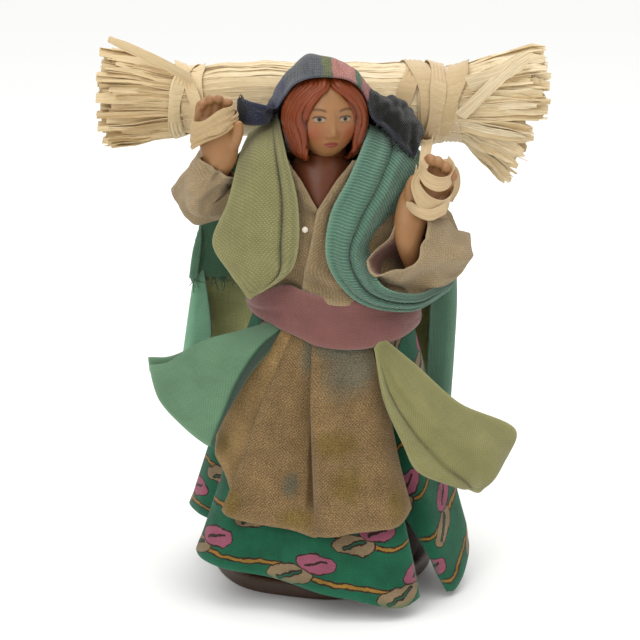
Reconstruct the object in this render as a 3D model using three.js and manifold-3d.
// A nativity figure: a shepherdess in stiffened cloth clothes, with a cast head and hands,
// that carries a bundle of straw across the shoulders and stands on a low round base.
// Millimetres, +Z up, the figure faces -Y, and +X is to the right as seen from the front.
import * as THREE from "three";
import { mergeVertices } from "three/addons/utils/BufferGeometryUtils.js";
import Module from "manifold-3d";

const wasm = await Module();
wasm.setup();

// Driving dimensions
const gap = 0.45; // between pieces that touch
const cutGap = 0.6; // where a piece is cut clear of another, along the normals at its corners
const clothThick = 0.9; // stiffened cloth
const strawThick = 0.8; // flat raffia ribbon
const base = { halfWidth: 31.6, halfDepth: 28.8, height: 4.6, bevel: 1, sides: 32 };
const waist = { x: 3, y: -1, halfWidth: 21, halfDepth: 15.5, z: 80 };
const sashThick = 1.3;
const head = { x: 1, y: -4.5, z: 133.2, halfWidth: 9.6, halfDepth: 10.2, halfHeight: 11.2, turn: 12 };
const bundle = { y: 19, strands: 13, ridge: 0.5, tuftFrom: 40, tuftDrop: 10.5, tuftShort: 9 };

// The skirt's hem, as angle from the front in degrees, reach from the centre and height.
// Its deep notch at 42 degrees is where the skirt's front edge hangs open.
const hem = [
  [-180, 37, 12], [-158, 34, 12], [-135, 38, 13], [-112, 35, 15], [-90, 39.5, 18.5], [-78, 38, 18],
  [-67, 33.5, 16], [-56, 42.5, 14], [-42, 42.5, 12.5], [-24, 39.5, 10.5], [-8, 39, 9], [10, 42, 6.8],
  [22, 46, 4.6], [28, 47.5, 3.8], [33, 43, 5], [38, 27.5, 9], [46, 29, 9], [51, 42, 2.5],
  [57, 44, 2.2], [68, 44.5, 6], [80, 43, 11], [100, 37, 13], [120, 39.5, 13], [142, 35, 12], [162, 38, 12],
];

const radians = THREE.MathUtils.degToRad;
const mix = THREE.MathUtils.lerp;
const clamp = THREE.MathUtils.clamp;
const smooth = THREE.MathUtils.smoothstep;
const point = (x, y, z) => new THREE.Vector3(x, y, z);
const bump = (x, middle, width) => Math.exp(-(((x - middle) / width) ** 2));

function material(colour, roughness = 0.85) {
  return new THREE.MeshStandardMaterial({ color: colour, roughness, metalness: 0, flatShading: true });
}

const paint = {
  base: material("#4b2d22", 0.7),
  skirt: material("#15805a"),
  apron: material("#a5825a"),
  sash: material("#96606a"),
  linen: material("#a9917a"),
  olive: material("#97995f"),
  teal: material("#6ba58b"),
  cape: material("#4b8f76"),
  darkGreen: material("#1f5644"),
  navy: material("#2b3352"),
  skin: material("#b9805c", 0.5),
  straw: material("#e2cf9f", 0.7),
  button: material("#ded8c8", 0.4),
};

// A smooth curve through a few points.
function curve(points, closed = false) {
  return new THREE.CatmullRomCurve3(points.map((p) => point(...p)), closed, "centripetal");
}

// Smoothly interpolates the columns of a table of stations, by its first column.
function stations(table) {
  return (at) => {
    const last = table.length - 1;
    let i = 0;
    while (i < last - 1 && at > table[i + 1][0]) i += 1;
    const share = clamp((at - table[i][0]) / (table[i + 1][0] - table[i][0]), 0, 1);
    const before = table[Math.max(i - 1, 0)];
    const after = table[Math.min(i + 2, last)];
    return table[i].slice(1).map((value, k) => {
      const next = table[i + 1][k + 1];
      const slopeIn = (next - before[k + 1]) / 2;
      const slopeOut = (after[k + 1] - value) / 2;
      const a = 2 * value - 2 * next + slopeIn + slopeOut;
      const b = 3 * next - 3 * value - 2 * slopeIn - slopeOut;
      return ((a * share + b) * share + slopeIn) * share + value;
    });
  };
}

// A geometry from points and triangles, turned so that its faces point out.
function shell(points, triangles) {
  let volume = 0;
  for (const [a, b, c] of triangles) volume += points[a].dot(points[b].clone().cross(points[c]));
  const index = triangles.flatMap(([a, b, c]) => (volume < 0 ? [a, c, b] : [a, b, c]));
  const geometry = new THREE.BufferGeometry();
  const flat = points.flatMap((p) => [p.x, p.y, p.z]);
  geometry.setAttribute("position", new THREE.Float32BufferAttribute(flat, 3));
  geometry.setIndex(index);
  return geometry;
}

// A solid through a stack of rings with the same number of points, closed with a fan at each end.
function loft(rings) {
  const n = rings[0].length;
  const points = rings.flat();
  const triangles = [];
  for (let i = 0; i < rings.length - 1; i += 1) {
    for (let j = 0; j < n; j += 1) {
      const a = i * n + j;
      const b = i * n + ((j + 1) % n);
      triangles.push([a, b, b + n], [a, b + n, a + n]);
    }
  }
  [rings[0], rings[rings.length - 1]].forEach((ring, end) => {
    const middle = ring.reduce((sum, p) => sum.add(p), point(0, 0, 0)).divideScalar(n);
    const first = end * (rings.length - 1) * n;
    points.push(middle);
    for (let j = 0; j < n; j += 1) {
      const pair = [first + j, first + ((j + 1) % n)];
      triangles.push(end ? [...pair, points.length - 1] : [...pair.reverse(), points.length - 1]);
    }
  });
  return shell(points, triangles);
}

// A sheet of cloth with the surface at(u, v), u across and v along from 0 to 1, and a thickness.
// A sheet that wraps has its u = 1 edge on its u = 0 edge.
function cloth(at, across, along, { thick = clothThick, wraps = false } = {}) {
  const columns = wraps ? across : across + 1;
  const grid = [];
  for (let j = 0; j <= along; j += 1) {
    for (let i = 0; i < columns; i += 1) grid.push(at(i / across, j / along));
  }
  const id = (i, j) => j * columns + (wraps ? (i + columns) % columns : clamp(i, 0, columns - 1));
  const points = [];
  for (const side of [0.5, -0.5]) {
    for (let j = 0; j <= along; j += 1) {
      for (let i = 0; i < columns; i += 1) {
        const du = grid[id(i + 1, j)].clone().sub(grid[id(i - 1, j)]);
        const dv = grid[id(i, Math.min(j + 1, along))].clone().sub(grid[id(i, Math.max(j - 1, 0))]);
        const normal = du.cross(dv).normalize();
        points.push(grid[id(i, j)].clone().addScaledVector(normal, side * thick));
      }
    }
  }
  const half = grid.length;
  const triangles = [];
  const quad = (a, b, c, d) => triangles.push([a, b, c], [a, c, d]);
  const cells = wraps ? columns : columns - 1;
  for (let j = 0; j < along; j += 1) {
    for (let i = 0; i < cells; i += 1) {
      const [a, b, c, d] = [id(i, j), id(i + 1, j), id(i + 1, j + 1), id(i, j + 1)];
      quad(a, b, c, d);
      quad(a + half, d + half, c + half, b + half);
    }
  }
  for (let i = 0; i < cells; i += 1) {
    quad(id(i + 1, 0), id(i, 0), id(i, 0) + half, id(i + 1, 0) + half);
    quad(id(i, along), id(i + 1, along), id(i + 1, along) + half, id(i, along) + half);
  }
  if (!wraps) {
    for (let j = 0; j < along; j += 1) {
      const far = columns - 1;
      quad(id(0, j), id(0, j + 1), id(0, j + 1) + half, id(0, j) + half);
      quad(id(far, j + 1), id(far, j), id(far, j) + half, id(far, j + 1) + half);
    }
  }
  return shell(points, triangles);
}

// A patch through rows of points: each row is a curve across, and the rows are joined by curves along.
function patch(rows) {
  const curves = rows.map((row) => curve(row));
  return (u, v) => curve(curves.map((c) => c.getPoint(u).toArray())).getPoint(v);
}

// A round tube along a curve, with a radius for each station, closed at both ends.
function limb(points, radii, sides = 10, steps = 8, flat = 1) {
  const path = curve(points);
  const size = stations(radii.map((r, i) => [i / (radii.length - 1), r]));
  const frames = path.computeFrenetFrames(steps, false);
  const rings = [];
  for (let i = 0; i <= steps; i += 1) {
    const middle = path.getPoint(i / steps);
    const r = size(i / steps)[0];
    const ring = [];
    for (let j = 0; j < sides; j += 1) {
      const a = (2 * Math.PI * j) / sides;
      ring.push(middle.clone()
        .addScaledVector(frames.normals[i], r * Math.cos(a))
        .addScaledVector(frames.binormals[i], r * flat * Math.sin(a)));
    }
    rings.push(ring);
  }
  return loft(rings);
}

// A tube through oval rings: each has a centre and two half axes, as nine numbers.
function tube(ovals, sides = 16, steps = 8) {
  const ovalAt = stations(ovals.map((oval, i) => [i / (ovals.length - 1), ...oval]));
  const rings = [];
  for (let i = 0; i <= steps; i += 1) {
    const o = ovalAt(i / steps);
    rings.push([...Array(sides).keys()].map((j) => {
      const c = Math.cos((2 * Math.PI * j) / sides);
      const s = Math.sin((2 * Math.PI * j) / sides);
      return point(o[0] + c * o[3] + s * o[6], o[1] + c * o[4] + s * o[7], o[2] + c * o[5] + s * o[8]);
    }));
  }
  return loft(rings);
}

// A flat straw ribbon along a path, with its width along a given direction.
function ribbon(path, width, side, steps = 6) {
  const line = curve(path);
  const across = point(...side).normalize();
  const at = (u, v) => line.getPoint(v).addScaledVector(across, (u - 0.5) * width);
  return cloth(at, 1, steps, { thick: strawThick });
}

// Solids for joining and cutting
function solidOf(geometry, out = 0) {
  const bare = new THREE.BufferGeometry();
  bare.setAttribute("position", geometry.getAttribute("position").clone());
  if (geometry.index) bare.setIndex(geometry.index.clone());
  const merged = mergeVertices(bare, 1e-4);
  if (out) {
    merged.computeVertexNormals();
    const place = merged.attributes.position;
    const normal = merged.attributes.normal;
    for (let i = 0; i < place.count; i += 1) {
      place.setXYZ(i, place.getX(i) + out * normal.getX(i), place.getY(i) + out * normal.getY(i),
        place.getZ(i) + out * normal.getZ(i));
    }
  }
  return new wasm.Manifold(new wasm.Mesh({
    numProp: 3,
    vertProperties: new Float32Array(merged.attributes.position.array),
    triVerts: new Uint32Array(merged.index.array),
  }));
}

function geometryOf(solid) {
  const whole = solid.decompose().sort((a, b) => b.volume() - a.volume())[0];
  const mesh = whole.getMesh();
  const geometry = new THREE.BufferGeometry();
  geometry.setAttribute("position", new THREE.BufferAttribute(mesh.vertProperties, 3));
  geometry.setIndex(new THREE.BufferAttribute(mesh.triVerts, 1));
  return geometry;
}

function joined(...geometries) {
  return geometryOf(geometries.map((g) => solidOf(g)).reduce((all, s) => all.add(s)));
}

// The first geometry less each of the others, which are grown a little.
function clearOf(geometry, ...others) {
  return geometryOf(others.reduce((rest, other) => rest.subtract(solidOf(other, cutGap)), solidOf(geometry)));
}

// Base
function baseRing(inset, z) {
  return [...Array(base.sides).keys()].map((i) => {
    const a = (2 * Math.PI * i) / base.sides;
    const uneven = 0.35 * Math.sin(5 * a) + 0.25 * Math.sin(8 * a + 1) - inset;
    return point((base.halfWidth + uneven) * Math.sin(a), -(base.halfDepth + uneven) * Math.cos(a), z);
  });
}

function makeBase() {
  return loft([baseRing(0, 0), baseRing(0, base.height - base.bevel), baseRing(base.bevel, base.height)]);
}

// Skirt. share runs from 0 at the waist to 1 at the hem.
const hemAt = stations([...hem.slice(-2).map(([a, ...r]) => [a - 360, ...r]), ...hem,
  ...hem.slice(0, 3).map(([a, ...r]) => [a + 360, ...r])]);

function waistRadius(a) {
  return 1 / Math.hypot(Math.sin(a) / waist.halfWidth, Math.cos(a) / waist.halfDepth);
}

function skirtPoint(degrees, share, out = 0) {
  const a = radians(degrees);
  const [reach, low] = hemAt(degrees);
  const r = mix(waistRadius(a), 39, share ** 0.9) + (reach - 39) * share ** 1.6 + out;
  const x = mix(waist.x, 0, share) + r * Math.sin(a);
  const y = mix(waist.y, 0, share) - r * Math.cos(a);
  return point(x, y, mix(waist.z, low, share));
}

function makeSkirt() {
  const sides = 66;
  const rings = [];
  const ring = (at) => rings.push([...Array(sides).keys()].map((i) => at((360 * i) / sides - 180)));
  for (const share of [0, 0.2, 0.5, 0.78, 1]) ring((d) => skirtPoint(d, share));
  ring((d) => skirtPoint(d, 1, -1.3));
  ring((d) => {
    const p = skirtPoint(d, 1);
    return point(p.x * 0.78, p.y * 0.78, p.z + 7);
  });
  ring((d) => {
    const p = skirtPoint(d, 1);
    const inner = Math.min(21 / Math.hypot(p.x, p.y), 0.6);
    return point(p.x * inner, p.y * inner, base.height + gap);
  });
  return loft(rings);
}

// The apron: how far down each place across it reaches, and its pleats, as the angle round
// the skirt and how far each stands off it.
const apronLength = stations([[0, 0.5], [0.12, 0.57], [0.24, 0.62], [0.29, 0.73], [0.6, 0.8], [1, 0.71]]);
const pleat = stations([
  [0, -80, 2.2], [0.12, -67, 2.8], [0.2, -56, 1.8], [0.25, -50, 1.7], [0.29, -45, 4.2], [0.42, -34, 3.9],
  [0.54, -21, 4], [0.585, -15, 1.7], [0.63, -12, 1.8], [0.67, -10, 4], [0.8, 10, 3], [1, 36, 2.8],
]);

function apronPoint(u, v) {
  const share = mix(0.04, apronLength(u)[0], v);
  const [wide, off] = pleat(u);
  const angle = mix(wide * 0.68 + 6, wide, v ** 0.8);
  return skirtPoint(angle, share, mix(1.25, off, smooth(share, 0, 0.45)));
}

// The sash: how high its two edges are round the waist, from the back round by the -X side.
const sashEdges = stations([
  [0, 78.4, 83], [0.25, 80, 81.4], [0.34, 78.4, 83.6], [0.42, 75.4, 84], [0.47, 73, 84], [0.54, 71.9, 83.8],
  [0.62, 72.2, 82.6], [0.7, 73.4, 81], [0.78, 75, 79.6], [1, 78.4, 83],
]);

function sashPoint(u, v) {
  const a = 2 * Math.PI * (u - 0.5);
  const [low, high] = sashEdges(u);
  const z = mix(high, low, v);
  const flare = Math.max(0, waist.z - z) / 72;
  const front = smooth(Math.cos(a), -0.2, 0.4);
  const off = 1.5 + sashThick / 2 + 0.9 * front + 0.7 * Math.sin(Math.PI * v);
  const r = mix(waistRadius(a), 39, flare ** 0.9) + off;
  return point(mix(waist.x, 0, flare) + r * Math.sin(a), mix(waist.y, 0, flare) - r * Math.cos(a), z);
}

// Blouse: its body as height, centre and half sizes. Its hem stands proud over the sash. It is
// pulled up on the -X side and hangs lower on the +X side.
const torso = stations([
  [80.4, 3, 20, -1, 14.2], [86, 2.8, 20.6, -1, 14.6], [92, 2, 20.6, -1, 15], [100, 1, 21.5, -1.2, 14.6],
  [108, 0.5, 22, -1, 13.2], [114, 0.4, 21, 0, 11.8], [118.5, 0.4, 16.5, 0.5, 10.6],
  [121.4, 0.4, 12, 0.5, 9.8],
]);

function torsoRing(z, out = 0, lift = 0) {
  const [x, halfWidth, y, halfDepth] = torso(z);
  const sides = 24;
  return [...Array(sides).keys()].map((i) => {
    const a = (2 * Math.PI * i) / sides;
    const square = 1 - 0.05 * Math.cos(4 * a);
    const across = (halfWidth + out) * square * Math.sin(a);
    const ahead = (halfDepth + out) * square * Math.cos(a);
    const pulled = bump(Math.sin(a), -0.75, 0.5) * smooth(Math.cos(a), -0.3, 0.3);
    const raised = lift * (pulled - 1.1 * smooth(Math.sin(a), 0.3, 1));
    return point(x + across, y - ahead, z + raised);
  });
}

function makeBlouseBody() {
  const rings = [torsoRing(80.4), torsoRing(84.1, 0, 2), torsoRing(84.5, 3, 2.2), torsoRing(87.5, 2.4, 2)];
  for (const z of [94, 103, 110, 115, 119, 121.4]) rings.push(torsoRing(z));
  return loft(rings);
}

// The open neck: a wedge with its point at the bottom of the collar, and the room for the chest.
function makeNeckOpening() {
  const corners = [[-1.2, 108.8], [11.4, 128], [-11.4, 128]];
  const outline = new THREE.Shape(corners.map(([x, z]) => new THREE.Vector2(x, z)));
  const wedge = new THREE.ExtrudeGeometry(outline, { depth: 22, bevelEnabled: false })
    .rotateX(Math.PI / 2).translate(0, -3, 0);
  const room = loft(chest.map((row) => chestRing(row, 1)));
  return joined(wedge, room);
}

// The rolled edges of the collar, from the bottom of the neck opening up each side.
function makeCollar() {
  return [[-1.1, -9.8], [-0.6, 10.8]].map(([low, high]) => {
    const middle = mix(low, high, 0.42);
    const path = [[low, -16.8, 108.6], [middle, -14.8, 115.6], [high, -9.8, 123.2], [high * 1.16, -3, 124.4]];
    return limb(path, [0.9, 1.9, 1.9, 1.2], 6, 5, 0.55);
  });
}

// The sleeve on the -X side: oval rings from the shoulder round the elbow to its open mouth, then its hollow.
const leftSleeve = {
  rings: [
    [-12, 0, 112, 0, 0, -8, 0, -9, 0], [-24, -0.5, 109, -1.5, 0, -7.6, 0, -8.6, 0],
    [-31.5, -2, 107.6, -4.6, 0, -5.4, 0, -8.2, -1], [-33.4, -5, 112.4, -8.2, 0, -0.6, 0.6, -7.6, -1.5],
    [-31.4, -6.5, 117, -7, 0, 2, 1, -6.4, -1.8], [-28.9, -7.5, 120.6, -5.8, 0, 2.8, 1, -5.2, -1.6],
  ],
  hollow: [
    [-31.6, -6, 113, -3.6, 0, 0.8, 0.6, -3.6, -1], [-29.8, -7, 118.6, -5, 0, 2, 0.9, -4.4, -1.4],
    [-28, -7.6, 124, -5, 0, 2.6, 0.9, -4.4, -1.4],
  ],
};

// The sleeve on the +X side: the upper arm, and a wide cuff that hangs below the elbow and gapes up.
const rightSleeve = {
  upper: [[12, 0, 111], [25, 1, 105], [33, -3, 97.5]],
  upperRadii: [9, 9.2, 8],
  rings: [
    [36.5, -5, 89, 2, 0.6, 1.6, -0.8, 2, 0.3], [35.4, -6, 90.6, 5, 1.4, 4.4, -2.4, 6, 1],
    [32.4, -8, 93.4, 8.6, 2.4, 7, -2.8, 7.4, 1.4], [27.4, -12.4, 97.2, 9.6, 3, 7.4, -2.8, 6.6, 1.2],
    [21.6, -17, 100.6, 9.6, 3, 8.2, -2.6, 5.2, 1.1],
  ],
  hollow: [
    [31.5, -9, 94.4, 5, 1.4, 4.4, -1.6, 4, 0.6], [27, -13, 97.8, 8, 2.5, 6.2, -2.2, 5, 0.8],
    [16.6, -21, 104.2, 9, 2.8, 7.7, -2.3, 4.6, 0.9],
  ],
};

// The head: an egg with its features as bumps, turned a little towards +X.
function headPoint(across, down) {
  const x = Math.sin(across) * Math.sin(down);
  const y = -Math.cos(across) * Math.sin(down);
  const z = Math.cos(down);
  const face = Math.max(0, -y);
  const jaw = 1 - 0.2 * smooth(-z, 0.1, 1) - 0.04 * smooth(-z, 0.6, 1);
  const side = x * 9;
  const up = z * 11;
  const nose = 1.9 * bump(side, 0, 1.4) * bump(up, -3.2, 1.9) + 0.7 * bump(side, 0, 0.9) * bump(up, 0, 2.4);
  const sockets = -0.8 * bump(Math.abs(side), 3.4, 1.9) * bump(up, 0.3, 1.5);
  const brow = 0.35 * bump(up, 2.6, 1.4);
  const lips = 0.55 * bump(side, 0, 1.9) * bump(up, -6.2, 1) + 0.5 * bump(side, 0, 2.4) * bump(up, -9, 1.5);
  const relief = face * (nose + sockets + brow + lips);
  const depth = (head.halfDepth * mix(1, 0.94, face) + relief) * mix(1, jaw, 0.5);
  return point(x * head.halfWidth * jaw, y * depth, z * head.halfHeight);
}

// Its columns are closer together at the front.
function makeSkull() {
  const rings = [];
  for (let j = 1; j < 15; j += 1) {
    rings.push([...Array(20).keys()].map((i) => {
      const a = (2 * Math.PI * (i + 0.5)) / 20 - Math.PI;
      return headPoint(a - 0.55 * Math.sin(a), (Math.PI * j) / 15);
    }));
  }
  return loft(rings);
}

// The hair: a cap of wavy locks that frames the face and ends beside the chin.
function makeHair() {
  const rings = [];
  for (let j = 0; j <= 7; j += 1) {
    const z = mix(11.4, -11, j / 7);
    const dome = Math.sqrt(Math.max(0, 1 - (Math.max(z, 0) / 12.3) ** 2));
    const fall = smooth(-z, 0, 11);
    rings.push([...Array(24).keys()].map((i) => {
      const a = (2 * Math.PI * i) / 24;
      const lock = dome * (i % 2 ? 1.02 : 0.98);
      const halfWidth = mix(12.2, 9.5, fall) * lock;
      const halfDepth = mix(11.6, 9.5, fall) * lock;
      return point(halfWidth * Math.sin(a), 0.8 - halfDepth * Math.cos(a), z);
    }));
  }
  return loft(rings);
}

// What the hair leaves open for the face: an egg that narrows to the parting.
function makeFaceWindow() {
  const rings = [];
  for (const y of [-18, -1.5]) {
    rings.push([...Array(18).keys()].map((i) => {
      const a = (2 * Math.PI * i) / 18;
      const tall = Math.cos(a) > 0 ? 8.8 : 13.5;
      const wide = 8.4 - 2 * Math.max(0, Math.cos(a)) ** 2;
      return point(wide * Math.sin(a), y, -1.6 + tall * Math.cos(a));
    }));
  }
  return loft(rings);
}

// The chest in the open neck, as height and half sizes.
const chest = [[105, 6.5, 11.6], [109, 8.4, 12.8], [115, 9.2, 11.4], [119.5, 9, 9.4], [123, 6.4, 6.8]];

function chestRing([z, halfWidth, halfDepth], out = 0) {
  const end = z < 106 ? -out : z > 122 ? out * 5 : 0;
  return [...Array(16).keys()].map((i) => {
    const a = (2 * Math.PI * i) / 16;
    return point((halfWidth + out) * Math.sin(a), -0.6 - (halfDepth + out) * Math.cos(a), z + end);
  });
}

function makeBust() {
  const hair = geometryOf(solidOf(makeHair()).subtract(solidOf(makeFaceWindow())));
  const top = joined(makeSkull(), hair).rotateZ(radians(head.turn)).translate(head.x, head.y, head.z);
  const neck = limb([[0.4, 0, 119], [0.8, -0.8, 123], [1, -2.5, 130]], [6.8, 6.2, 6], 14, 3);
  return joined(top, neck, loft(chest.map((row) => chestRing(row))));
}

// A hand: a forearm and palm through oval rings, a thumb, and four fingers that curl over.
// Each finger starts from the knuckles and bends over by way of two more steps.
function makeHand({ arm, thumb, knuckles, bend, size }) {
  const parts = [tube(arm, 10, 6), limb(thumb, [1.8, 1.6, 1.1], 6, 2)];
  for (let i = 0; i < 4; i += 1) {
    const start = knuckles[0].map((value, k) => mix(value, knuckles[1][k], i / 3));
    start[2] += 0.9 * Math.sin((Math.PI * (i + 0.7)) / 4);
    const path = [start];
    for (const step of bend) path.push(path.at(-1).map((value, k) => value + step[k]));
    parts.push(limb(path, [size, size, size * 0.75], 5, 3));
  }
  return joined(...parts);
}

const leftHand = {
  arm: [
    [-31.2, -6.4, 114.9, -2.4, 0, 0.6, 0, -2.2, -0.6], [-30.6, -6.7, 116.6, -3.5, 0, 0.8, 0.4, -2.9, -0.8],
    [-28.4, -7.8, 122, -4.9, 0, 0.6, 0.3, -3.3, -0.4], [-28.2, -8, 128, -5.5, 0, 0, 0, -3, 0],
    [-28.8, -7.4, 133, -5, 0, 0, 0, -2.3, 0],
  ],
  thumb: [[-25, -8.6, 124.5], [-22.9, -10.6, 129.6], [-22.5, -10.8, 133.6]],
  knuckles: [[-32.6, -7.4, 132.6], [-25.6, -7.4, 132.8]],
  bend: [[0.1, -0.8, 4], [0.3, -3.2, 0.4]],
  size: 1.5,
};
const rightHand = {
  arm: [
    [24.6, -14.6, 94.6, 2.2, 0, 0, 0, -2.4, -1], [22.8, -16.2, 98.4, 4, 0, -0.6, 0, -3.4, -0.6],
    [23, -15.8, 104, 4.9, 0, -1, 0, -3.8, -0.4], [26, -14, 110.5, 4.9, 0, -1.8, 0, -3.2, -0.4],
    [29.4, -12.4, 116.5, 4.8, 0, -1.6, 0, -2.8, 0],
  ],
  thumb: [[24.4, -14.6, 109.5], [24, -16, 115.4], [25.4, -16.4, 119]],
  knuckles: [[28.2, -12.2, 117.8], [34, -12.2, 114]],
  bend: [[1, -0.8, 4], [0.6, -3.2, -0.6]],
  size: 1.6,
};

// Headscarf: a hood over the hair, with a wing to each side that lies against the straw.
const scarfEdge = stations([
  [0, -25.2, 2.5, 137.4], [0.1, -20, 1.5, 137], [0.2, -15, -1.5, 137.4], [0.3, -11.6, -6.6, 142.4],
  [0.41, -6.4, -8.6, 149], [0.5, 0.4, -9, 149.6], [0.6, 8.4, -8.4, 147], [0.7, 12.6, -6.4, 141.6],
  [0.8, 16, -2, 138.6], [0.9, 21.6, 1.5, 137.6], [1, 27, 3.5, 131],
]);

function scarfPoint(u, v) {
  const [x, y, z] = scarfEdge(u);
  const hood = smooth(u, 0.12, 0.34) * smooth(1 - u, 0.12, 0.34);
  const front = point(x, y - 2.4 * hood, z - 0.8 * hood);
  const peak = point(x, y + mix(0.6, 6, hood), z + 0.5 * hood);
  const crown = point(x * mix(1.02, 0.92, hood), mix(y + 1.5, 6.2, hood), z - mix(4, 6, hood));
  const fall = smooth(u, 0.06, 0.22) * smooth(1 - u, 0.06, 0.22);
  const nape = point(x * mix(1.02, 0.8, hood), mix(y + 2, 6.6, hood), mix(z - mix(7.4, 9, u), 123.5, fall));
  return curve([front, peak, crown, nape].map((p) => p.toArray())).getPoint(v);
}

// Drapes on the shoulders and flaps at the waist, as rows of points across each from its top.
const drapeOlive = [
  [[-20.5, 5, 126], [-16, 4.6, 129.6], [-12.4, 2, 131.6]],
  [[-22.6, -7, 122.6], [-16.8, -10.4, 125], [-10, -11.4, 124.4]],
  [[-25.6, -14.6, 111], [-17.2, -17, 111.4], [-6.8, -16.8, 112]],
  [[-29.8, -14.6, 100], [-18.6, -19.4, 99.5], [-6.6, -19, 99.6]],
  [[-25, -19, 92.5], [-16.6, -21.2, 92], [-8.6, -20.6, 93.5]],
  [[-20.4, -21, 86.4], [-19.4, -21.2, 85.9], [-18.4, -21.2, 86.6]],
];
const drapeTeal = [
  [[12, 5, 130], [18, 6, 128], [24, 6, 124.5]],
  [[13.4, -5.4, 130], [20, -7.4, 125.6], [27, -4.6, 119.8]],
  [[8.6, -14, 119], [15, -15.4, 115], [21, -12, 113]],
  [[2.6, -17.6, 107.5], [10, -19.4, 106], [16, -17.8, 106]],
  [[2, -19.4, 95], [7.4, -21, 96.4], [11.8, -20.6, 98]],
  [[10, -20.6, 84.8], [13, -22, 87.8], [16, -22.2, 90]],
  [[24, -20, 82], [24.8, -20.6, 84.6], [25.6, -19.6, 86.6]],
  [[35.4, -9, 85], [36.4, -9.4, 87], [36.2, -8, 88.6]],
];
const flapTeal = [
  [[-8.8, -18.9, 76.4], [-9.2, -19.6, 74.8], [-8.8, -20.4, 73.2]],
  [[-20, -20, 74.6], [-18, -23, 70.4], [-15.5, -25, 66.4]],
  [[-34, -20, 70.8], [-29.5, -26, 63], [-23, -29.4, 55.8]],
  [[-48.4, -18.4, 67.6], [-44.6, -24.5, 57], [-30, -31, 46]],
];
const flapOlive = [
  [[17, -18.6, 73.8], [15.6, -19.8, 73.2], [14.4, -21, 71.8]],
  [[26, -20.5, 66.5], [21, -26, 62.5], [17, -28.4, 59]],
  [[38, -22, 56.2], [30.8, -29.4, 52], [22, -33.4, 48.4]],
  [[54, -20.5, 47.6], [44, -29.8, 42.4], [25.8, -35.2, 41.4]],
  [[52, -22.4, 42], [46.5, -28.4, 36.5], [35, -33, 36.6]],
  [[46, -25.4, 34.2], [43.5, -27, 31.8], [40.6, -28.6, 33.4]],
];

// A patch through rows of points, with folds that run along it: each fold is a place across,
// a width and a height.
function folded(rows, folds) {
  const at = patch(rows);
  return (u, v) => {
    const p = at(u, v);
    const shown = smooth(v, 0.02, 0.2) * smooth(1 - v, 0.02, 0.12);
    for (const [place, width, height] of folds) p.y -= height * shown * bump(u, place, width);
    return p;
  };
}

// A cloth down the back. Each row has its height, the reach of its middle to the back, how far
// back its edges are, and its half width to either side.
function backCloth({ rows, slope, folds, fold }) {
  const sizes = stations(rows);
  return (u, v) => {
    const [z, reach, edge, left, right] = sizes(v);
    const across = mix(-1, 1, u);
    const bow = Math.cos((across * Math.PI) / 2) ** 0.75;
    const wave = fold * smooth(v, 0, 0.6) * Math.cos(folds * Math.PI * u + 0.6) * bow;
    return point(across * (across < 0 ? left : right), mix(edge, reach, bow) + wave, z + slope * v * across);
  };
}

const shawl = {
  rows: [[0, 121.5, 13.4, 5.5, 23, 23], [0.3, 110, 18.6, 9.6, 31, 31], [0.7, 94, 21, 10.4, 36.6, 35.6],
    [1, 82, 23, 10.8, 38.6, 36]],
  slope: -1.5, folds: 7, fold: 0.6,
};
const cape = {
  rows: [[0, 120.6, 16.2, 8.6, 23, 23], [0.25, 106, 22.4, 12.4, 34, 36], [0.55, 84, 26.4, 13.2, 39, 39.4],
    [1, 52.5, 31.5, 14.6, 41.5, 38.6]],
  slope: -6, folds: 9, fold: 1.5,
};

// Straw: a bundle that flares at its ends, from its place along X, height and half sizes.
const straw = stations([
  [-63, 135.4, 12.6, 12.2], [-52, 135.2, 11.4, 11.4], [-42, 134.6, 9.4, 9.6], [-37.6, 134.6, 8.2, 8.4],
  [-32, 134.8, 9.6, 9.6], [-16, 135, 10.2, 9.8], [0, 134.6, 10.2, 9.8], [18, 134.4, 10.4, 10],
  [29, 134, 10.4, 10.4], [36, 133.6, 9.4, 9.8], [42, 134.2, 10.4, 10.4], [53, 134.8, 12.6, 11.6],
  [64, 134.6, 13.8, 12.6],
]);

// The lower straws at the right end droop in a tuft and are shorter.
function strawPoint(x, a, out = 0) {
  const [z, halfHeight, halfDepth] = straw(x);
  const low = smooth(-Math.sin(a), 0.25, 1) * Math.max(0, x - bundle.tuftFrom) / (64 - bundle.tuftFrom);
  return point(x - bundle.tuftShort * low, bundle.y - (halfDepth + out) * Math.cos(a),
    z + (halfHeight + out) * Math.sin(a) - bundle.tuftDrop * low);
}

function makeBundle() {
  const places = [-63, -50, -42, -37.6, -31, 0, 28, 36, 40, 45, 53, 64];
  const sides = 2 * bundle.strands;
  return loft(places.map((x, k) => [...Array(sides).keys()].map((i) => {
    const a = (2 * Math.PI * i) / sides;
    const ragged = k === 0 || k === places.length - 1 ? 1.1 * Math.sin(7 * a) : 0;
    return strawPoint(x + ragged, a, (i % 2 ? 1 : -1) * bundle.ridge + 0.3 * Math.sin(3 * a + 0.16 * x));
  })));
}

// Straw ribbons tied round the bundle at a place along X, as one band. Each turn has its place
// along the band and its lean, and the first lies on the others.
function strawTie(x, width, turns) {
  const at = (u, v) => {
    const a = 2 * Math.PI * u;
    const middles = turns.map(([place, lean]) => place + lean * Math.sin(a));
    const along = mix(Math.min(...middles) - width / 2, Math.max(...middles) + width / 2, v);
    const proud = 0.5 * bump(along, middles[0], width / 2);
    return strawPoint(x + along, a, bundle.ridge + 0.6 + gap + strawThick / 2 + proud);
  };
  return cloth(at, 18, 2, { thick: strawThick, wraps: true });
}

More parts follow.
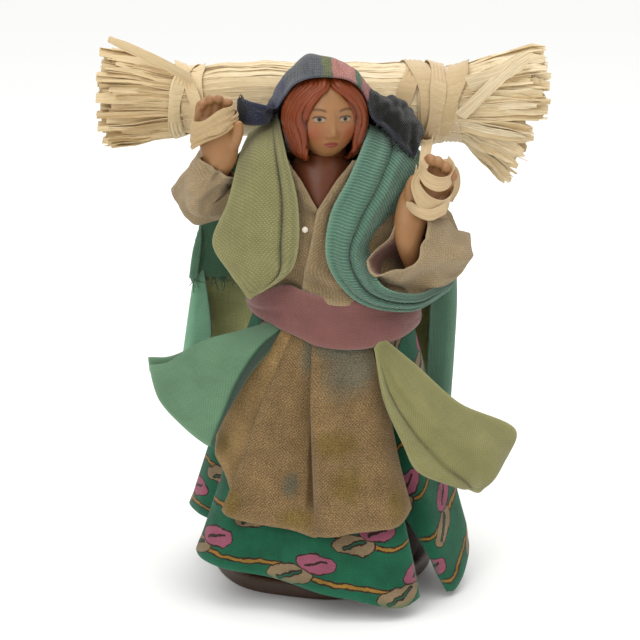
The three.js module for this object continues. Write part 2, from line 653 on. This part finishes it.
// A straw ribbon wound round a hand, as a leaning flat ring.
function handRibbon({ centre: [x, y, z], halfWidth, halfDepth, width, lean }) {
  const at = (u, v) => {
    const a = 2 * Math.PI * u;
    const height = z + (v - 0.5) * width + lean * Math.sin(a);
    return point(x + halfWidth * Math.sin(a), y - halfDepth * Math.cos(a), height);
  };
  return cloth(at, 16, 1, { thick: strawThick, wraps: true });
}

const leftRibbon = { centre: [-28.2, -8.4, 130.4], halfWidth: 7.4, halfDepth: 5, width: 3.6, lean: 3.8 };
const rightRibbon = { centre: [30.2, -12.8, 114.6], halfWidth: 8, halfDepth: 5.4, width: 3.4, lean: -3 };

// Assembly: inner pieces first, and each outer piece is cut clear of what it lies on.
const figure = new THREE.Group();
const placed = {};

function add(name, finish, geometry, ...under) {
  const whole = under.length ? clearOf(geometry, ...under.map((other) => placed[other])) : geometry;
  const mesh = new THREE.Mesh(whole, finish);
  mesh.name = name;
  figure.add(mesh);
  placed[name] = whole;
}

add("base", paint.base, makeBase());
add("skirt", paint.skirt, makeSkirt());
add("head_and_neck", paint.skin, makeBust());
add("left_hand", paint.skin, makeHand(leftHand));
add("right_hand", paint.skin, makeHand(rightHand));

function makeBlouse() {
  const sleeves = [leftSleeve, rightSleeve];
  let whole = solidOf(makeBlouseBody());
  for (const { rings } of sleeves) whole = whole.add(solidOf(tube(rings, 12, 6)));
  whole = whole.add(solidOf(limb(rightSleeve.upper, rightSleeve.upperRadii, 10, 3)));
  whole = whole.subtract(solidOf(makeNeckOpening()));
  for (const side of makeCollar()) whole = whole.add(solidOf(side));
  for (const { hollow } of sleeves) whole = whole.subtract(solidOf(tube(hollow, 10, 2)));
  return geometryOf(whole);
}

const drapeLeft = folded(drapeOlive, [[0.72, 0.05, -1.1], [0.84, 0.08, 0.5]]);
const drapeRight = folded(drapeTeal, [[0.3, 0.09, 0.9], [0.55, 0.07, -0.8], [0.8, 0.1, 0.9]]);
const strandLeft = ribbon([[-38, 9, 143], [-46, 8, 147], [-59.6, 9, 153]], 2.4, [0.3, 0, 1]);
const strandRight = ribbon([[40, 8, 133], [46, 5.5, 139], [53.5, 5, 146.5]], 2.6, [1, 0, -0.6]);
const button = limb([[-4.6, -18.2, 104.2], [-4.6, -16.2, 104.2]], [0.9, 1.2], 8, 2);

add("blouse", paint.linen, makeBlouse(), "right_hand");
add("apron", paint.apron, cloth(apronPoint, 22, 5), "skirt");
add("sash", paint.sash, cloth(sashPoint, 26, 2, { thick: sashThick, wraps: true }), "blouse");
add("shoulder_drape_left", paint.olive, cloth(drapeLeft, 9, 8), "blouse");
add("shoulder_drape_right", paint.teal, cloth(drapeRight, 9, 13), "blouse", "right_hand");
add("waist_flap_left", paint.teal, cloth(patch(flapTeal), 6, 6), "sash", "apron");
add("waist_flap_right", paint.olive, cloth(patch(flapOlive), 6, 8), "sash", "apron");
add("straw_bundle", paint.straw, makeBundle());
add("headscarf", paint.navy, cloth(scarfPoint, 16, 5), "head_and_neck", "straw_bundle",
  "shoulder_drape_left", "shoulder_drape_right");
add("shawl", paint.darkGreen, cloth(backCloth(shawl), 14, 3), "blouse", "headscarf", "straw_bundle");
add("cape", paint.cape, cloth(backCloth(cape), 16, 5), "shawl", "skirt", "straw_bundle",
  "shoulder_drape_right");
add("straw_tie_left", paint.straw, strawTie(-37.6, 3.2, [[0, -2.6], [0, 1.6]]));
add("straw_tie_right", paint.straw, strawTie(33, 4.6, [[0, 1.6], [-2.5, -2.2], [2.5, -0.6]]));
add("straw_strand_left", paint.straw, strandLeft, "straw_bundle", "straw_tie_left");
add("straw_strand_right", paint.straw, strandRight, "straw_bundle", "straw_tie_right");
add("hand_ribbon_left", paint.straw, handRibbon(leftRibbon), "left_hand");
add("hand_ribbon_right", paint.straw, handRibbon(rightRibbon), "right_hand", "shoulder_drape_right");
add("button", paint.button, button, "blouse");

export default figure;
